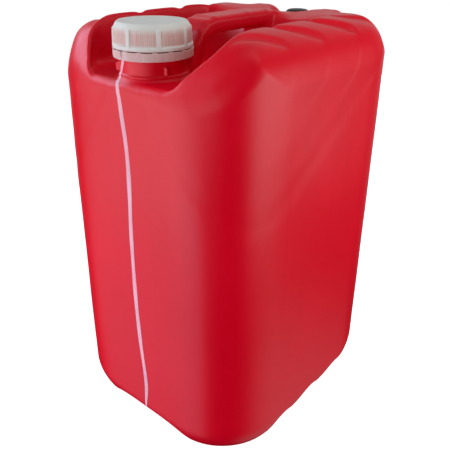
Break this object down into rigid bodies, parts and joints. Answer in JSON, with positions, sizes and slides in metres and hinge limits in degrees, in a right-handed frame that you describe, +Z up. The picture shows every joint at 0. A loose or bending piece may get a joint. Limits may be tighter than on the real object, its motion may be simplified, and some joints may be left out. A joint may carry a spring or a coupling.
{
  "type": "plastic jerrycan",
  "caption": "Upright hollow plastic jerrycan with rounded corners, moulded-in carrying handle, sight stripe, threaded pouring neck with ribbed screw cap and a small screw-capped rear vent.",
  "frame": {"origin": "centre of the base, on the surface the can stands on", "axes": "+Z up; the pouring neck is at the -Y end; +X is the right side seen from the front"},
  "size_m": [0.248, 0.29, 0.4371],
  "materials": {
    "body_red": "satin blow-moulded polyethylene, fine grain, slightly waxy sheen",
    "stripe_natural": "uncoloured translucent polyethylene, satin",
    "cap_white": "translucent natural polyethylene, satin",
    "wad_white": "foamed polyethylene, matt",
    "vent_black": "black moulded polyethylene, satin",
    "gasket_black": "matt black rubber"
  },
  "bodies": {
    "can": {"body_shell": "body_red", "sight_stripe": "stripe_natural", "tamper_ring": "cap_white"},
    "wad": {"cap_wad": "wad_white"},
    "cap": {"main_cap": "cap_white"},
    "gasket": {"vent_gasket": "gasket_black"},
    "vent": {"vent_cap": "vent_black"}
  },
  "joints": [
    {"name": "cap_lift", "type": "slide", "parent": "can", "child": "wad", "axis": [0, 0, 1], "range_m": [0, 0.0241]},
    {"name": "cap_turn", "type": "hinge", "parent": "wad", "child": "cap", "pos_m": [0, -0.106, 0.43], "axis": [0, 0, 1], "range_deg": [0, 1440]},
    {"name": "vent_lift", "type": "slide", "parent": "can", "child": "gasket", "axis": [0, 0, 1], "range_m": [0, 0.0141]},
    {"name": "vent_turn", "type": "hinge", "parent": "gasket", "child": "vent", "pos_m": [0, 0.117, 0.424], "axis": [0, 0, 1], "range_deg": [0, 1260]}
  ],
  "couplings": [
    {"joint": "cap_lift", "follows": "cap_turn", "m_per_rad": 0.00095493},
    {"joint": "vent_lift", "follows": "vent_turn", "m_per_rad": 0.00063662}
  ]
}
